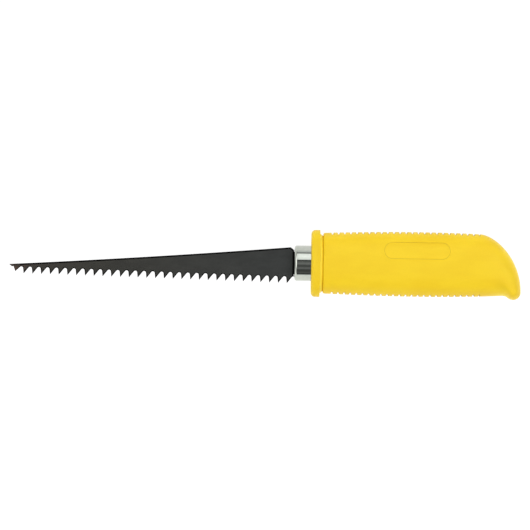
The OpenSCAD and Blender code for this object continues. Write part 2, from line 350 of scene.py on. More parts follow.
def side_arc(edge, s, inset, off):
    """Outside of the grip from an edge (on the parting plane) up to its crown, and its tone of painted
    shade and light.

    off is the distance along the saw to the middle of the nearest notch. Every arc has as many
    points, and the one where a notch would run out is always the same one in the list.
    """
    width, height = arc_width(edge, s), crown_height(s)
    inside = off <= NOTCH_R
    depth = NOTCH_DEPTH - NOTCH_R + math.sqrt(max(NOTCH_R**2 - off**2, 0))
    stop = landing(width, depth)
    top = height * math.sin(stop) ** FACE_POWER
    heights = np.concatenate([[0, SEAM, SECOND_ROW], top * WALL_SHARES])
    wall = np.arcsin((heights / height) ** (1 / FACE_POWER))
    calm = landing(width, NOTCH_DEPTH - NOTCH_R)
    shift = (stop - calm) * np.clip(1 - FACE_SHARES / SHIFTED_SHARE, 0, 1) ** 2
    angles = np.concatenate([wall, calm + (math.pi / 2 - calm) * FACE_SHARES + shift])
    split = len(wall)
    points = grip_arc(edge, s, inset, angles)

    beside = max(off - NOTCH_R, 0)
    beyond = np.clip(angles - stop, 0, None) * (width + height) / 2
    drop = rounding(np.hypot(beside, beyond), LIP_R)
    # Painted shade: the lips darken as they round into a notch, and the notch's wall gets the full notch
    # shade.
    tone = drop / LIP_R
    if inside:
        drop[:split] = 0
        tone[:split] = NOTCH_PAINTED_SHADE
    to_crown = (crown_point(s) - edge) / width
    across, down = inward(width, height, angles)
    points[:, :2] += np.outer(drop * across, to_crown)
    points[:, 2] -= drop * down
    if inside:
        points[:split, :2] = edge + to_crown * depth
    points[0, :2] += to_crown * SEAM
    points[:, 2] = np.maximum(points[:, 2], 0)
    return points, tone + pommel_painted_light_and_shade(s, angles)


# Where the pommel's painted light and shade set in, in stations, and how they lie on its arcs, in
# degrees.
TONED_FROM, TONED_FADE = 1.25, 0.4
RIM_TO, RIM_FADE = 22, 18
BAND_AT, BAND_WIDTH = 63, 13


def pommel_painted_light_and_shade(s, angles):
    """A pale rim round the pommel (painted light), and a slightly darker band inside it (painted shade).
    """
    share = float(smooth_step((s - TONED_FROM) / TONED_FADE))
    turned = np.degrees(angles)
    rim = 1 - smooth_step((turned - RIM_TO) / RIM_FADE)
    band = np.exp(-(((turned - BAND_AT) / BAND_WIDTH) ** 2))
    return share * (RIM_PAINTED_LIGHT * rim + BAND_PAINTED_SHADE * band)


def notch_offset(u):
    """Distance along the saw from a place to the middle of the nearest notch."""
    k = min(max(round((u - FIRST_NOTCH) / NOTCH_PITCH), 0), NOTCHES - 1)
    return abs(u - FIRST_NOTCH - k * NOTCH_PITCH)


def notch_stations():
    """Places along the saw for rows of the outside, close together where a notch is or ends."""
    turns = np.radians([0, 18, 36, 54, 72, 90])
    offsets = list(NOTCH_R * np.sin(turns))
    offsets += list(NOTCH_R + 0.01 + LIP_R * (1 - np.cos(np.radians([0, 22.5, 45, 67.5, 90]))))
    offsets += [1.15, NOTCH_PITCH / 2]
    at = set()
    for i in range(NOTCHES):
        for off in offsets:
            for side in (-1, 1):
                at.add(round(FIRST_NOTCH + i * NOTCH_PITCH + side * off, 5))
    return sorted(at)


def outer_stations():
    """[station, inset] pairs for the outside: the rounded front edge, the notched part, the pommel."""
    steps = 6
    corner = FRONT_EDGE_R / RIB_SPAN
    turns = [math.pi / 2 * i / steps for i in range(steps + 1)]
    front = [[corner * (1 - math.cos(a)), FRONT_EDGE_R * (1 - math.sin(a))] for a in turns]
    lead = np.arange(GRIP_X + FRONT_EDGE_R + 0.5, FIRST_NOTCH - NOTCH_PITCH / 2, 0.5)
    body = [u for u in list(lead) + notch_stations() if u < POMMEL_X - 0.02]
    pommel = [[1 + i / 44, 0.0] for i in range(45)]
    return front + [[(u - GRIP_X) / RIB_SPAN, 0.0] for u in sorted(body)] + pommel


def inner_stations():
    """[station, inset] pairs for the inside, which has no notches."""
    return [[i / 24, WALL] for i in range(24)] + [[1 + i / 14, WALL] for i in range(15)]


INNER = np.radians(np.arange(0, 91, 7.5))
NO_NOTCH = 99.0


def grip_skin(build, stations, side, outside, panel):
    """One surface of a grip half. Returns its edge chain on the parting plane and its front row.

    The outside's notched chain comes back as a smooth one just under the notches.
    """
    beak_steps = 18 if outside else 9
    rail = []

    def under_notches(edge, s):
        rail.append([*(edge + (crown_point(s) - edge) / arc_width(edge, s) * RAIL_DEPTH), 0.0])

    def arc_from(edge, s, inset):
        if not outside:
            return grip_arc(edge, s, inset, INNER), np.zeros(len(INNER))
        off = notch_offset(GRIP_X + RIB_SPAN * s) if s < 1 and inset == 0 else NO_NOTCH
        return side_arc(edge, s, inset, off)

    def seated(points):
        points = points.copy()
        if outside and side < 0:
            points[:, 2] = np.minimum(points[:, 2], REST_DROP)
        points[:, 1] = np.maximum(points[:, 1], LOWEST_V)
        points[:, 2] *= side
        return points

    rows = []
    for s, inset in stations:
        under_notches(upper_edge(s), s)
        up, up_tone = arc_from(upper_edge(s), s, inset)
        low, low_tone = arc_from(lower_edge(s), s, inset)
        points = seated(np.vstack([up, low[-2::-1]]))
        rows.append(build.add(points, np.append(up_tone, low_tone[-2::-1])))
    crown = len(up) - 1
    hole = panel_hole(build, rows, crown) if panel else None
    for i in range(len(rows) - 1):
        for j in range(len(rows[i]) - 1):
            if hole and hole[0] <= i < hole[1] and hole[2] <= j < hole[3]:
                continue
            build.faces.append((rows[i][j], rows[i][j + 1], rows[i + 1][j + 1], rows[i + 1][j]))
    if panel:
        sunk_panel(build, rows, hole)

    last_s, last_inset = stations[-1]
    apex = rows[-1][crown]
    arcs = [rows[-1][:crown]]
    for j in range(1, beak_steps):
        edge = BEAK_AT + polar(BEAK_R, -(math.pi / 2 + FILLET_LEAN) * j / beak_steps)
        under_notches(edge, last_s)
        points, tone = arc_from(edge, last_s, last_inset)
        arcs.append(build.add(seated(points)[:crown], tone[:crown]))
    arcs.append(rows[-1][:crown:-1])
    for a, b in zip(arcs, arcs[1:]):
        build.strip(a, b)
        build.faces.append((a[-1], b[-1], apex))

    chain = [row[0] for row in rows] + [arc[0] for arc in arcs[1:-1]] + [row[-1] for row in rows[::-1]]
    if outside:
        for s, _ in stations[::-1]:
            under_notches(lower_edge(s), s)
        smooth = build.add(rail)
        build.strip(chain, smooth)
        front = [smooth[0]] + rows[0] + [smooth[-1]]
        return smooth, front
    return chain, rows[0]


# ---------------------------------------------------------------- sunk panel on the upper half

PANEL_R = PANEL_H / 2
PANEL_REACH = (PANEL_LEN - PANEL_H) / 2


def surface_height(u, v):
    """Height of the grip's plain outside over a place on its upper side."""
    s = (u - GRIP_X) / RIB_SPAN
    share = (v - crown_point(s)[1]) / arc_width(upper_edge(s), s)
    return CROWN_H * (1 - share ** (2 / SIDE_POWER)) ** (FACE_POWER / 2)


def panel_hole(build, rows, crown):
    """Rows and columns of the grid cells that the panel and its surroundings replace."""
    along = np.array([build.points[row[crown]][0] for row in rows])
    reach = PANEL_REACH + PANEL_R + PANEL_MARGIN
    first = int(np.searchsorted(along, PANEL_AT[0] - reach)) - 1
    last = int(np.searchsorted(along, PANEL_AT[0] + reach))
    crossed = rows[first : last + 1]
    across = np.array([[build.points[k][1] for k in row[: crown + 1]] for row in crossed])
    above = across.min(axis=0) > PANEL_AT[1] + PANEL_R + PANEL_MARGIN
    below = across.max(axis=0) < PANEL_AT[1] - PANEL_R - PANEL_MARGIN
    return first, last, int(np.nonzero(above)[0][-1]), int(np.nonzero(below)[0][0])


def sunk_panel(build, rows, hole):
    """Rings from the edge of the hole in the grid, over a rounded lip, to the panel's middle."""
    first, last, start, stop = hole
    rim = [rows[i][start] for i in range(first, last)]
    rim += [rows[last][j] for j in range(start, stop)]
    rim += [rows[i][stop] for i in range(last, first, -1)]
    rim += [rows[first][j] for j in range(stop, start, -1)]
    at = np.array([build.points[k][:2] for k in rim])
    spine = np.clip(at[:, 0], *(PANEL_AT[0] + PANEL_REACH * np.array([-1, 1])))
    base = np.column_stack([spine, np.full(len(at), PANEL_AT[1])])
    reach = np.linalg.norm(at - base, axis=1)
    out = (at - base) / reach[:, None]

    def ring(radius, drop, tone):
        where = base + out * np.broadcast_to(radius, reach.shape)[:, None]
        height = [surface_height(u, v) - drop for u, v in where]
        return build.add(np.column_stack([where, height]), tone)

    near = PANEL_R + PANEL_MARGIN / 2
    rings = [rim] + [ring(near + (reach - near) * share, 0, 0) for share in (0.66, 0.33, 0)]
    rings += [ring(PANEL_R + PANEL_MARGIN / 4, 0, 0)]
    # Painted shade along the panel's wall, fading out over its lip and its fillet.
    for turn in np.radians([90, 67.5, 45, 22.5, 0]):
        c, d = math.cos(turn), math.sin(turn)
        rings.append(ring(PANEL_R + PANEL_LIP_R * (1 - c), PANEL_LIP_R * (1 - d), PANEL_EDGE_PAINTED_SHADE * (1 - d)))
    for turn in np.radians([0, 30, 60, 90]):
        c, d = math.cos(turn), math.sin(turn)
        radius = PANEL_R - PANEL_DRAFT - PANEL_FILLET_R * (1 - c)
        rings.append(ring(radius, PANEL_DEPTH - PANEL_FILLET_R * (1 - d), PANEL_EDGE_PAINTED_SHADE * c))
    for share in (0.85, 0.68, 0.5, 0.33, 0.16, 0):
        rings.append(ring(PANEL_R * share, PANEL_DEPTH, 0))
    for a, b in zip(rings, rings[1:]):
        build.strip(a, b, closed=True)


def grip_half(name, side, panel):
    """The upper half (side 1) or the lower one (side -1): two surfaces, joined round their rims."""
    build = Build()
    outer_chain, outer_front = grip_skin(build, outer_stations(), side, True, panel)
    inner_chain, inner_front = grip_skin(build, inner_stations(), side, False, False)
    build.zip_rows(outer_chain, inner_chain)
    build.zip_rows(outer_front, inner_front)
    return build.object(name, 50)


# ---------------------------------------------------------------- bolster and ferrule

RING = 192
TURN = 2 * np.pi * np.arange(RING) / RING


def section_ring(u, half, round_share=0.0):
    """Ring with the grip's own section, blended towards an ellipse by round_share."""
    side = SIDE_POWER + (1 - SIDE_POWER) * round_share
    face = FACE_POWER + (1 - FACE_POWER) * round_share
    c, d = np.cos(TURN), np.sin(TURN)
    v = half[0] * np.sign(c) * np.abs(c) ** side
    z = half[1] * np.sign(d) * np.abs(d) ** face
    return np.column_stack([np.full(RING, u), v, np.maximum(z, -REST_DROP)])


def slot_ring(u, half):
    """Ring round a rectangular slot."""
    v = half[0] * np.clip(math.sqrt(2) * np.cos(TURN), -1, 1)
    z = half[1] * np.clip(math.sqrt(2) * np.sin(TURN), -1, 1)
    return np.column_stack([np.full(RING, u), v, z])


def loop_of_rings(name, rings, values, sharp_degrees):
    """Closed tube through the rings: the last one joins the first."""
    build = Build()
    rows = [build.add(ring, value) for ring, value in zip(rings, values)]
    for a, b in zip(rows, rows[1:] + rows[:1]):
        build.strip(a, b, closed=True)
    return build.object(name, sharp_degrees)


def ferrule():
    """A drawn cup: slot, rounded front edge, side, rim, inside wall and inside corner."""

    def ring(u, r):
        return section_ring(u, np.array([r, r]), 1.0)

    rings = [slot_ring(0, SLOT_HALF)]
    steps = 10
    for i in range(steps + 1):
        a = math.pi / 2 * i / steps
        r = FERRULE_R - FERRULE_EDGE_R * (1 - math.sin(a))
        rings.append(ring(FERRULE_EDGE_R * (1 - math.cos(a)), r))
    for share in (0.35, 0.7):
        rings.append(ring(FERRULE_EDGE_R + (FERRULE_LEN - FERRULE_EDGE_R) * share, FERRULE_R))
    rings.append(ring(FERRULE_LEN - RIM_CHAMFER, FERRULE_R))
    rings.append(ring(FERRULE_LEN, FERRULE_R - RIM_CHAMFER))
    inside = FERRULE_R - FERRULE_WALL
    rings.append(ring(FERRULE_LEN, inside))
    for i in range(4):
        a = math.pi / 2 * i / 3
        u = FERRULE_WALL + FERRULE_CORNER_R * (1 - math.sin(a))
        rings.append(ring(u, inside - FERRULE_CORNER_R * (1 - math.cos(a))))
    rings.append(slot_ring(FERRULE_WALL, SLOT_HALF))
    return loop_of_rings("ferrule_cup", rings, [0.0] * len(rings), 40)


def bolster():
    """Spigot, flange, waist, plug and tang housing, from the front to the rear."""
    rings, values = [], []

    def put(u, half, round_share=0.0, value=0.0):
        rings.append(section_ring(u, np.array(half, float), round_share))
        values.append(value)

    def put_slot(u):
        rings.append(slot_ring(u, TANG_SLOT_HALF))
        values.append(0.0)

    def put_round(u, r, value=0.0):
        put(u, [r] * 2, 1.0, value)

    spigot_r = FERRULE_R - FERRULE_WALL - SPIGOT_GAP
    spigot_u = FERRULE_WALL + SPIGOT_END_GAP
    put_slot(spigot_u)
    put_round(spigot_u, spigot_r - SPIGOT_CHAMFER)
    put_round(spigot_u + SPIGOT_CHAMFER, spigot_r)
    put_round(FERRULE_LEN, spigot_r)
    # Painted shade on the flange round the foot of the ferrule.
    put_round(FERRULE_LEN, FERRULE_R + FOOT_FROM, FERRULE_FOOT_PAINTED_SHADE)
    put_round(FERRULE_LEN, FERRULE_R + FOOT_TO)
    # The flange's rounded edge and band carry a faint painted shade.
    steps = 10
    for i in range(steps + 1):
        a = math.pi / 2 * i / steps
        half = FLANGE_HALF - FLANGE_EDGE_R * (1 - math.sin(a))
        put(FERRULE_LEN + FLANGE_EDGE_R * (1 - math.cos(a)), half, 0.0, FLANGE_PAINTED_SHADE)
    waist_u = FERRULE_LEN + FLANGE_LEN
    put(waist_u - FLANGE_REAR_R - FLANGE_BAND, FLANGE_HALF, 0.0, FLANGE_PAINTED_SHADE)
    for i in range(5):
        a = math.pi / 2 * i / 4
        half = FLANGE_HALF - FLANGE_REAR_R * (1 - math.cos(a))
        put(waist_u - FLANGE_REAR_R * (1 - math.sin(a)), half)
    # Painted light on the waist, turning into painted shade towards the seam with the grip.
    waist_steps = 8
    for i in range(waist_steps + 1):
        t = i / waist_steps
        fall = WAIST_FALL + (WAIST_FALL_END - WAIST_FALL) * t
        tone = WAIST_PAINTED_LIGHT + (SEAM_PAINTED_SHADE - WAIST_PAINTED_LIGHT) * max(t - 0.5, 0) * 2
        put(waist_u + (GRIP_X - waist_u) * t, FLANGE_HALF - WAIST_DROP * fall, 0.0, tone)
    # Painted shade in the seam's crease.
    put(GRIP_X, PLUG_HALF, 0.0, 1.0)
    put(GRIP_X + PLUG_LEN, PLUG_HALF)
    put_round(GRIP_X + PLUG_LEN, HOUSING_R)
    put_round(COLLAR_FROM, HOUSING_R)
    put_round(COLLAR_FROM, COLLAR_R)
    put_round(COLLAR_TO, COLLAR_R)
    put_round(COLLAR_TO, HOUSING_R)
    put_round(HOUSING_END, HOUSING_R)
    put_slot(HOUSING_END)
    return loop_of_rings("bolster_flange", rings, values, 40)


# ---------------------------------------------------------------- blade


def gullet_centre():
    """Middle of the round gullet between a tooth's face and the back of the one before it."""
    half = (math.pi / 2 + FACE_ANGLE - BACK_ANGLE) / 2
    tilt = math.pi / 4 - (BACK_ANGLE + FACE_ANGLE) / 2
    apex = polar(TOOTH_PITCH * math.cos(FACE_ANGLE) / math.sin(2 * half), BACK_ANGLE)
    return apex - GULLET_R / math.sin(half) * np.array([math.sin(tilt), math.cos(tilt)])


GULLET_AT = gullet_centre()
ARC_TURNS = np.radians([0, 10, 20, 30, 40, 50])
FACE_TURNS = np.radians([62, 73, 83])


def at_tooth(i, p):
    """A place measured from the tip of tooth i, along and up from the line of the tips."""
    c, s = math.cos(TOOTH_LINE_ANGLE), math.sin(TOOTH_LINE_ANGLE)
    u = FIRST_TIP_U + i * TOOTH_PITCH * c
    tip = np.array([u, TOOTH_LINE_V - u * math.tan(TOOTH_LINE_ANGLE)])
    return tip + [p[0] * c + p[1] * s, p[1] * c - p[0] * s]


def back_point(height, inset=0.0):
    return np.array([height / math.tan(BACK_ANGLE) - inset / math.sin(BACK_ANGLE), height])


def face_point(height, inset=0.0):
    return np.array([inset / math.cos(FACE_ANGLE) - height * math.tan(FACE_ANGLE), height])


RIDGE_H = CHAMFER * (1 / math.cos(FACE_ANGLE) + 1 / math.sin(BACK_ANGLE))
RIDGE_H /= 1 / math.tan(BACK_ANGLE) + math.tan(FACE_ANGLE)
GULLET_TOP = GULLET_AT[1] + GULLET_R


def tooth_rows():
    """Points down a tooth from its gullets to near its tip, each row matched in height.

    A row holds the left edge, the left and right ends of the chamfers, the right edge, and how
    far the chamfers' ends lie below the flat of the blade. Near the tip the chamfers meet.
    """
    before = GULLET_AT - [TOOTH_PITCH, 0]
    wide = GULLET_R + CHAMFER
    up = math.pi / 2
    rows = []
    for turn in ARC_TURNS:
        left = [before + polar(r, up - turn) for r in (GULLET_R, wide)]
        right = [GULLET_AT + polar(r, up + turn) for r in (wide, GULLET_R)]
        rows.append(left + right + [0.0])
    for turn in FACE_TURNS:
        edge, end = [before + polar(r, up - turn) for r in (GULLET_R, wide)]
        rows.append([edge, end, back_point(end[1], CHAMFER), back_point(edge[1]), 0.0])
    for height in ((RIDGE_H + rows[-1][0][1]) / 2, RIDGE_H):
        ends = [face_point(height, CHAMFER), back_point(height, CHAMFER)]
        rows.append([face_point(height)] + ends + [back_point(height), 0.0])
    middle = face_point(RIDGE_H, CHAMFER) / 2
    rows.append([face_point(middle[1]), middle, middle, back_point(middle[1]), CHAMFER_DROP / 2])
    return rows


def spine_v(u):
    """The spine sags a little between the point and the heel."""
    end = -HEEL_GAP - HEEL_CORNER[0]
    t = (u + BLADE_LEN) / (BLADE_LEN + end)
    return POINT_V + t * (HEEL_V - POINT_V) - 4 * SPINE_HOLLOW * t * (1 - t)


def inset_loop(loop, distance):
    """Moves each corner of a counter-clockwise outline inwards."""
    loop = np.asarray(loop)
    along = np.roll(loop, -1, axis=0) - loop
    along /= np.linalg.norm(along, axis=1)[:, None]
    normal = np.column_stack([-along[:, 1], along[:, 0]])
    before = np.roll(normal, 1, axis=0)
    middle = before + normal
    return loop + (np.asarray(distance) * 2 / (middle**2).sum(axis=1))[:, None] * middle


class BladeOutline:
    """Corners round the blade, counter-clockwise, each with the place where its chamfer ends.

    nose, teeth, gullets and spine hold corner numbers. A tooth is its way down, its tip and its
    way up. There is a corner on the spine for each gullet, and one over the nose.
    """

    def __init__(self):
        self.edge, self.end, self.drop = [], [], []
        self.edge_bend, self.end_bend = [], []
        point = np.array([-BLADE_LEN, POINT_V])
        self.nose = [self.put(point)] + [self.put(point + p) for p in NOSE[::-1]]
        self.teeth, self.gullets = [], []
        rows = tooth_rows()
        for i in range(TEETH):
            self.put_tooth(i, rows)
        self.put_heel_and_spine()

    def put(self, edge, end=None, drop=0.0, edge_bend=0.0, end_bend=0.0):
        self.edge.append(np.asarray(edge, float))
        self.end.append(end)
        self.drop.append(drop)
        self.edge_bend.append(edge_bend)
        self.end_bend.append(end_bend)
        return len(self.edge) - 1

    def put_on_tooth(self, i, edge, end, drop):
        """A corner of tooth i, which is bent to one side or the other."""
        bends = [TOOTH_SET * (1 if i % 2 else -1) * self.bent(p[1]) for p in (edge, end)]
        return self.put(at_tooth(i, edge), at_tooth(i, end), drop, *bends)

    @staticmethod
    def bent(height):
        """Share of the set at a height over the tips: none near the gullets."""
        start = GULLET_TOP - SET_BELOW
        return min(max(1 - height / start, 0), 1)

    def put_tooth(self, i, rows):
        """The first tooth is cut short by the nose, and the last one runs into the heel."""
        last = i == TEETH - 1
        down, tip = [], self.nose[-1]
        flank = rows[1 : len(ARC_TURNS)]
        if i > 0:
            down = [self.put_on_tooth(i, left, end, drop) for left, end, _, _, drop in rows[1:]]
            tip = self.put_on_tooth(i, np.zeros(2), np.zeros(2), CHAMFER_DROP)
            flank = rows[2:] if last else rows[1:]
        up = [self.put_on_tooth(i, right, end, drop) for _, _, end, right, drop in flank[::-1]]
        self.teeth.append((down, tip, up))
        if not last:
            self.gullets.append(self.put_on_tooth(i, rows[0][3], rows[0][2], 0.0))

    def put_heel_and_spine(self):
        heel_turn = math.radians(95)
        heel_v = at_tooth(TEETH - 1, GULLET_AT + polar(GULLET_R, heel_turn))[1]
        self.heel_low = self.put([-HEEL_GAP, heel_v])
        self.heel_high = self.put([-HEEL_GAP, HEEL_V - HEEL_CORNER[1]])
        self.corner = self.put([-HEEL_GAP - HEEL_CORNER[0], HEEL_V])
        along = [self.edge[k][0] for k in self.gullets]
        self.spine = [self.put([u, spine_v(u)]) for u in along[::-1]][::-1]
        u = self.edge[self.nose[2]][0] + BEHIND_NOSE
        self.over_nose = self.put([u, spine_v(u)])

    def chamfer_ends(self):
        """Where all the chamfers end: those that no tooth gave lie inside the outline."""
        nose_end = FIRST_TIP_U + NOSE_CHAMFER_LEN
        width = [NOSE_CHAMFER if p[0] < nose_end else CHAMFER for p in self.edge]
        moved = inset_loop(self.edge, width)
        return np.array([m if e is None else e for e, m in zip(self.end, moved)])

    def border(self):
        """Corners along the heel and the spine, which have a narrow border of painted shade in the flats.
        """
        return range(self.heel_low, self.over_nose + 1)


def blade():
    shape = BladeOutline()
    build = Build()
    rings = blade_rings(build, shape)
    wall = [rings[1][-1], rings[1][0], rings[2][0], rings[2][-1]]
    blade_tang(build, wall)
    blade_flats(build, shape, rings)
    return build.object("saw_blade", 20)


def blade_rings(build, shape):
    """Chamfers and edge: four rings round the outline, from one flat to the other.

    The rings start at the top of the heel, and its rear wall is left open for the tang.
    """
    half = BLADE_T / 2
    edge, end = np.array(shape.edge), shape.chamfer_ends()
    drop = np.array(shape.drop)
    edge_bend, end_bend = np.array(shape.edge_bend), np.array(shape.end_bend)
    # Painted shade: the edge rings, and the chamfers' ends along heel and spine, are fully dark; on the
    # teeth the ends darken where the chamfers meet.
    end_tone = drop / CHAMFER_DROP
    end_tone[shape.heel_low : shape.over_nose] = 1.0
    rings = []
    for xy, z, tone in (
        (end, half - drop + end_bend, end_tone),
        (edge, half - CHAMFER_DROP + edge_bend, 1.0),
        (edge, CHAMFER_DROP - half + edge_bend, 1.0),
        (end, drop - half + end_bend, end_tone),
    ):
        ring = build.add(np.column_stack([xy, z]), tone)
        rings.append(ring[shape.heel_high :] + ring[: shape.heel_high])
    for a, b in zip(rings, rings[1:]):
        build.strip(a, b)
    for a, b in (rings[0:2], rings[2:4]):
        build.faces.append((a[-1], a[0], b[0], b[-1]))
    return rings


def blade_tang(build, wall):
    """The tang, from the middle of the blade's rear wall back to its end."""
    half = BLADE_T / 2
    neck = half - CHAMFER_DROP - TANG_NECK_IN
    stations = [
        (-HEEL_GAP, TANG_HALF, neck),
        (TANG_NECK_FROM, TANG_HALF, neck),
        (TANG_NECK_TO, TANG_HALF, half),
        (FERRULE_LEN, TANG_HALF, half),
        (TANG_LEN - TANG_END_CHAMFER, TANG_END_HALF, half),
        (TANG_LEN, TANG_END_HALF - TANG_END_CHAMFER, half),
    ]
    ring = wall
    for u, h, t in stations:
        after = build.add([[u, -h, t], [u, h, t], [u, h, -t], [u, -h, -t]])
        build.strip(ring, after, closed=True)
        ring = after
    build.faces.append(tuple(ring))


def blade_flats(build, shape, rings):
    """Both flats of the blade, inside their chamfers, with the painted-shade border along heel and spine.
    """
    half = BLADE_T / 2
    count = len(shape.edge)
    bordered = shape.border()
    calm = inset_loop(shape.edge, CHAMFER + PAINTED_SHADE_BORDER)[bordered.start : bordered.stop]
    calm[-1] = shape.chamfer_ends()[shape.over_nose]
    borders = [build.add(np.column_stack([calm, np.full(len(calm), z)])) for z in (half, -half)]
    sides = list(zip((rings[0], rings[3]), borders))

    def flat(*corners, chamfered=()):
        """A face between corners. The places listed in chamfered skip the border."""
        for ring, border in sides:
            face = [ring[(k - shape.heel_high) % count] for k in corners]
            for place, k in enumerate(corners):
                if k in bordered and place not in chamfered:
                    face[place] = border[k - shape.heel_low]
            build.faces.append(tuple(face))

    for ring, border in sides:
        build.strip([ring[(k - shape.heel_high) % count] for k in bordered], border)
    nose, teeth, gullets, spine = shape.nose, shape.teeth, shape.gullets, shape.spine
    flat(*nose[:3], shape.over_nose)
    flat(nose[2], nose[3], *teeth[0][2], gullets[0], spine[0], shape.over_nose)
    for i in range(1, TEETH):
        last = i == TEETH - 1
        down, tip, up = teeth[i]
        left = [gullets[i - 1]] + down
        right = [shape.heel_low if last else gullets[i]] + up[::-1]
        if last:
            # Here the face meets the heel's chamfer and then the start of the dark border.
            flat(*left[:3], right[1], shape.heel_low, shape.heel_low, chamfered=(4,))
            left, right = left[2:], right[1:]
        for k in range(len(right) - 1):
            flat(left[k], left[k + 1], right[k + 1], right[k])
        flat(left[-1], tip, right[-1])
    for a, b, c, d in zip(gullets, gullets[1:], spine[1:], spine):
        flat(a, b, c, d)
    flat(gullets[-1], shape.heel_low, shape.heel_high, shape.corner, spine[-1])


# ---------------------------------------------------------------- materials


class Nodes:
    """Short way to build a node tree."""

    def __init__(self, tree):
        self.tree = tree
        tree.nodes.clear()

    def add(self, kind, inputs=None, **settings):
        made = self.tree.nodes.new(kind)
        for key, value in settings.items():
            setattr(made, key, value)
        for key, value in (inputs or {}).items():
            self.set(made, key, value)
        return made

    def set(self, made, key, value):
        if isinstance(value, bpy.types.NodeSocket):
            self.tree.links.new(value, made.inputs[key])
        else:
            made.inputs[key].default_value = value

    def math(self, operation, *values, clamp=False):
        made = self.add("ShaderNodeMath", operation=operation, use_clamp=clamp)
        for i, value in enumerate(values):
            self.set(made, i, value)
        return made.outputs[0]

    def mix(self, share, a, b, blend="MIX"):
        made = self.add("ShaderNodeMix", data_type="RGBA", blend_type=blend)
        for key, value in (("Factor", share), ("A", a), ("B", b)):
            socket = [s for s in made.inputs if s.name == key and s.enabled][0]
            if isinstance(value, bpy.types.NodeSocket):
                self.tree.links.new(value, socket)
            else:
                socket.default_value = value
        return [s for s in made.outputs if s.enabled][0]

    def scaled(self, colour, share):
        """A colour times a number."""
        grey = self.add("ShaderNodeCombineColor", {0: share, 1: share, 2: share}).outputs[0]
        return self.mix(1.0, colour, grey, "MULTIPLY")

    def span(self, value, low, high, to_low=0.0, to_high=1.0, smooth=True):
        """The value's place between low and high, spread from to_low to to_high."""
        kind = "SMOOTHSTEP" if smooth else "LINEAR"
        limits = {1: low, 2: high, 3: to_low, 4: to_high}
        made = self.add("ShaderNodeMapRange", limits, interpolation_type=kind)
        self.set(made, 0, value)
        return made.outputs[0]

    def ramp(self, value, stops):
        made = self.add("ShaderNodeValToRGB")
        elements = made.color_ramp.elements
        while len(elements) < len(stops):
            elements.new(0.5)
        for element, (at, colour) in zip(elements, stops):
            element.position = at
            element.color = (*colour, 1)
        self.set(made, 0, value)
        return made.outputs[0]

    def place(self, scale):
        """Position in millimetres, stretched by a scale for each axis."""
        where = self.add("ShaderNodeTexCoord").outputs["Object"]
        per_metre = tuple(k / MM for k in scale)
        return self.add("ShaderNodeMapping", {"Vector": where, "Scale": per_metre}).outputs[0]

    def noise(self, scale, detail=2.0, roughness=0.5):
        """Noise from 0 to 1; scale is features per millimetre along each axis."""
        inputs = {"Vector": self.place(scale), "Scale": 1.0, "Detail": detail, "Roughness": roughness}
        return self.add("ShaderNodeTexNoise", inputs).outputs[0]

    def bump(self, height, distance_mm, strength, below=None):
        inputs = {"Height": height, "Distance": distance_mm * MM, "Strength": strength}
        if below is not None:
            inputs["Normal"] = below
        return self.add("ShaderNodeBump", inputs).outputs[0]

    def shade(self):
        """The tone that Build gave to the vertices: where shade or light is painted."""
        return self.add("ShaderNodeAttribute", attribute_name="shade").outputs["Fac"]


def new_material(name):
    material = bpy.data.materials.new(name)
    material.use_nodes = True
    nodes = Nodes(material.node_tree)
    shader = nodes.add("ShaderNodeBsdfPrincipled")
    nodes.add("ShaderNodeOutputMaterial", {"Surface": shader.outputs[0]})
    return material, nodes, shader


def yellow_plastic():
    """Moulded plastic: flow mottling, spark-eroded grain, amber painted shade in notches, panel edge and
    seam, and paler painted light on the waist and pommel rim.
    """
    material, n, shader = new_material("yellow_moulded_plastic")
    flow = n.noise((0.05, 0.14, 0.14), 3.0, 0.55)
    grain = n.noise((1.7, 1.7, 1.7), 3.0, 0.6)
    pale, deep = (0.918, 0.64, 0.0155, 1), (0.88, 0.594, 0.0115, 1)
    base = n.mix(n.span(flow, 0.3, 0.7), deep, pale)
    speck = n.span(grain, 0.25, 0.8, 0.965, 1.02, smooth=False)
    base = n.scaled(base, speck)
    tone = n.shade()
    painted_shade_colour, painted_light_colour = (0.24, 0.15, 0.008, 1), (1.0, 0.83, 0.06, 1)
    # Painted shade where the tone is above 0, painted light where it is below 0.
    base = n.mix(n.math("MULTIPLY", tone, 1.0, clamp=True), base, painted_shade_colour)
    base = n.mix(n.math("MULTIPLY", tone, -1.0, clamp=True), base, painted_light_colour)
    n.set(shader, "Base Color", base)
    n.set(shader, "Roughness", n.span(grain, 0.2, 0.8, 0.4, 0.54, smooth=False))
    n.set(shader, "Normal", n.bump(grain, 0.03, 0.5, n.bump(flow, 0.15, 0.2)))
    shader.inputs["Specular IOR Level"].default_value = 0.25
    shader.inputs["Subsurface Weight"].default_value = 0.06
    shader.inputs["Subsurface Radius"].default_value = (0.0015, 0.0011, 0.0003)
    shader.inputs["Subsurface Scale"].default_value = 1.0
    return material


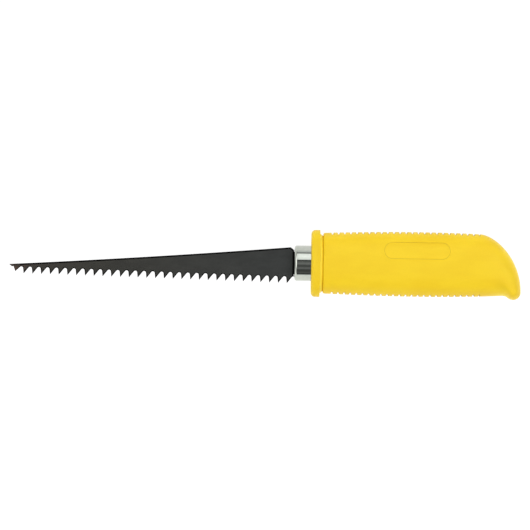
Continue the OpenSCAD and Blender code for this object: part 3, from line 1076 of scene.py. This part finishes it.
def blade_lacquer():
    """Black satin lacquer: orange peel, lengthwise scuffs, painted shade as black unreflecting edges and
    border, brown steel at the nose.
    """
    material, n, shader = new_material("black_blade_lacquer")
    along = n.add("ShaderNodeSeparateXYZ", {0: n.place((1, 1, 1))}).outputs[0]
    tip_x = SEAT[0] / MM - BLADE_LEN
    share = n.span(along, tip_x, SEAT[0] / MM, smooth=False)
    brown, olive, slate = (0.032, 0.027, 0.0215), (0.0285, 0.0275, 0.0225), (0.028, 0.0305, 0.0295)
    base = n.ramp(share, [(0.0, brown), (0.3, olive), (1.0, slate)])
    cloud = n.noise((0.10, 0.22, 0.2), 4.0, 0.6)
    tone = n.span(cloud, 0.3, 0.7, 0.88, 1.12)
    base = n.scaled(base, tone)
    scuff = n.noise((0.12, 5.0, 5.0), 4.0, 0.65)
    scratch, bare_steel, black = (0.11, 0.11, 0.105, 1), (0.115, 0.058, 0.04, 1), (0.006, 0.006, 0.006, 1)
    base = n.mix(n.span(scuff, 0.66, 0.8, 0, 0.35), base, scratch)
    rub = n.noise((0.6, 0.6, 0.6), 4.0, 0.7)
    near_tip = n.span(along, tip_x + 2, tip_x + 14, 1, 0)
    worn = n.math("MULTIPLY", near_tip, n.span(rub, 0.38, 0.62), clamp=True)
    base = n.mix(n.math("MULTIPLY", worn, 0.6), base, bare_steel)
    # Painted shade: where the tone is high the lacquer turns black and metallic, so the edges mirror
    # almost nothing.
    edge = n.shade()
    edge_painted_shade = n.span(edge, 0.05, 0.5)
    base = n.mix(edge_painted_shade, base, black)
    n.set(shader, "Base Color", base)
    n.set(shader, "Metallic", edge_painted_shade)
    rough = n.math("ADD", n.span(scuff, 0.3, 0.8, 0.34, 0.5), n.math("MULTIPLY", edge, 0.3))
    n.set(shader, "Roughness", rough)
    peel = n.noise((0.9, 0.9, 0.9), 2.0)
    n.set(shader, "Normal", n.bump(scuff, 0.008, 0.5, n.bump(peel, 0.02, 0.35)))
    shader.inputs["Specular IOR Level"].default_value = 0.22
    return material


def chrome():
    """Bright plate over drawn steel: faint draw lines along the cup and a little haze."""
    material, n, shader = new_material("drawn_chrome")
    lines = n.noise((0.05, 2.2, 2.2), 4.0, 0.6)
    haze = n.noise((0.5, 0.5, 0.5), 3.0)
    hazy, clear = (0.48, 0.505, 0.45, 1), (0.52, 0.54, 0.485, 1)
    base = n.mix(n.span(haze, 0.3, 0.7), hazy, clear)
    n.set(shader, "Base Color", base)
    shader.inputs["Metallic"].default_value = 1.0
    n.set(shader, "Roughness", n.span(lines, 0.3, 0.7, 0.05, 0.1))
    n.set(shader, "Normal", n.bump(lines, 0.003, 0.3))
    return material


def pin_steel():
    """Cut steel wire: lengthwise drawing marks and slight tarnish."""
    material, n, shader = new_material("drawn_pin_steel")
    lines = n.noise((6.0, 6.0, 0.3), 3.0, 0.6)
    tarnish = n.noise((0.4, 0.4, 0.4), 4.0)
    clean, tarnished = (0.62, 0.61, 0.6, 1), (0.42, 0.4, 0.37, 1)
    base = n.mix(n.span(tarnish, 0.35, 0.7), clean, tarnished)
    n.set(shader, "Base Color", base)
    shader.inputs["Metallic"].default_value = 1.0
    n.set(shader, "Roughness", n.span(lines, 0.3, 0.7, 0.24, 0.42))
    n.set(shader, "Normal", n.bump(lines, 0.01, 0.5))
    return material


# ---------------------------------------------------------------- studio

FLOOR_HALF = 3.0
FLOOR_FAR, FLOOR_NEAR = 0.95, 1.06
FLOOR_BLEND = 12.0
LAMP_LEAN = math.radians(8.5)

# Brightness of the sky by its angle from the lamp.
SKY = [(0, 2.2), (34, 2.1), (50, 0.7), (70, 0.55), (82, 0.9), (90, 1.35), (97, 1.7), (180, 1.7)]

# The ferrule mirrors a narrow arc across the saw. Brightness along it, by the angle from straight
# up towards the spine's side: below the horizon on the teeth's side, a dark card with two paler
# streaks, a strip light, a dim gap, and the far side of the room.
SLIT = [(-180, 1.15), (-84, 1.15)]
SLIT += [(-76, 0.06), (-68, 0.08), (-62, 0.14), (-56, 0.08), (-42, 0.08)]
SLIT += [(-34, 0.21), (-27, 0.18), (-20, 0.09), (-14, 0.1), (-7, 0.2), (-1, 0.26), (6, 0.18)]
SLIT += [(11, 0.17), (16, 0.06), (20, 0.05)]
SLIT += [(26, 1.4), (45, 1.62), (64, 1.42)]
SLIT += [(67, 0.25), (73, 0.25)]
SLIT += [(77, 0.8), (180, 0.8)]
SLIT_HALF, SLIT_END = 0.12, 0.22

CAMERA_DISTANCE = 1.9
CAMERA_Y = -0.0012
CAMERA_TURN = math.radians(0.86)
VIEW_WIDTH = 0.28324


def studio_floor():
    """A white sweep that glows, a little more on the teeth's side of the saw."""
    mesh = bpy.data.meshes.new("studio_floor")
    corners = [(x * FLOOR_HALF, y * FLOOR_HALF, 0) for x, y in ((-1, -1), (1, -1), (1, 1), (-1, 1))]
    mesh.from_pydata(corners, [], [(0, 1, 2, 3)])
    floor = bpy.data.objects.new("studio_floor", mesh)
    bpy.context.scene.collection.objects.link(floor)
    material, n, shader = new_material("studio_white")
    across = n.add("ShaderNodeSeparateXYZ", {0: n.place((1, 1, 1))}).outputs[1]
    shader.inputs["Base Color"].default_value = (0.09, 0.09, 0.09, 1)
    shader.inputs["Roughness"].default_value = 0.9
    shader.inputs["Specular IOR Level"].default_value = 0.1
    shader.inputs["Emission Color"].default_value = (1, 1, 1, 1)
    glow = n.span(across, FLOOR_BLEND, -FLOOR_BLEND, FLOOR_FAR, FLOOR_NEAR)
    n.set(shader, "Emission Strength", glow)
    mesh.materials.append(material)


def studio_sky():
    """Soft overhead light, and a narrow arc across the saw that holds what its ferrule mirrors."""
    world = bpy.data.worlds.new("studio_sky")
    world.use_nodes = True
    bpy.context.scene.world = world
    n = Nodes(world.node_tree)
    where = n.add("ShaderNodeTexCoord").outputs["Generated"]
    d = n.add("ShaderNodeSeparateXYZ", {0: where}).outputs
    lamp = Vector((0.0, math.sin(LAMP_LEAN), math.cos(LAMP_LEAN)))
    aim = n.add("ShaderNodeVectorMath", {0: where, 1: lamp}, operation="DOT_PRODUCT").outputs["Value"]
    off = n.math("DIVIDE", n.math("ARCCOSINE", n.math("MINIMUM", aim, 0.99999)), math.pi)
    sky = n.ramp(off, [(at / 180, (k, k, k)) for at, k in SKY])
    turn = n.math("ARCTAN2", d[1], d[2])
    turn = n.math("ADD", n.math("DIVIDE", turn, 2 * math.pi), 0.5)
    slit = n.ramp(turn, [((at + 180) / 360, (k, k * 1.02, k * 1.04)) for at, k in SLIT])
    aside = n.math("ABSOLUTE", d[0])
    slit = n.scaled(slit, n.span(aside, SLIT_HALF / 4, SLIT_HALF, 1, 0.5))
    colour = n.mix(n.span(aside, SLIT_HALF, SLIT_END, 1, 0), sky, slit)
    glow = n.add("ShaderNodeBackground", {"Color": colour, "Strength": 1.0})
    n.add("ShaderNodeOutputWorld", {"Surface": glow.outputs[0]})


def camera():
    """Looks straight down, and is turned a little about its own axis."""
    data = bpy.data.cameras.new("camera")
    data.sensor_width = 36
    data.lens = data.sensor_width * CAMERA_DISTANCE / VIEW_WIDTH
    data.clip_start = 0.05
    data.clip_end = 20
    eye = bpy.data.objects.new("camera", data)
    eye.location = (0.0, CAMERA_Y, SEAT[2] + CAMERA_DISTANCE)
    eye.rotation_euler = (0, 0, CAMERA_TURN)
    bpy.context.scene.collection.objects.link(eye)
    bpy.context.scene.camera = eye


# ---------------------------------------------------------------- the whole saw

camera()
bpy.context.scene.view_settings.view_transform = "Standard"
studio_floor()
studio_sky()

yellow = yellow_plastic()
finish_piece(grip_half("upper_grip", 1, True), "left_grip_shell", yellow)
finish_piece(grip_half("lower_grip", -1, False), "right_grip_shell", yellow)
finish_piece(bolster(), "bolster", yellow)
finish_piece(ferrule(), "ferrule", chrome())
finish_piece(blade(), "blade", blade_lacquer())

steel = pin_steel()
for name in ("front_tang_pin", "rear_tang_pin"):
    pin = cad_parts[name]
    pin.data.materials.clear()
    pin.data.materials.append(steel)
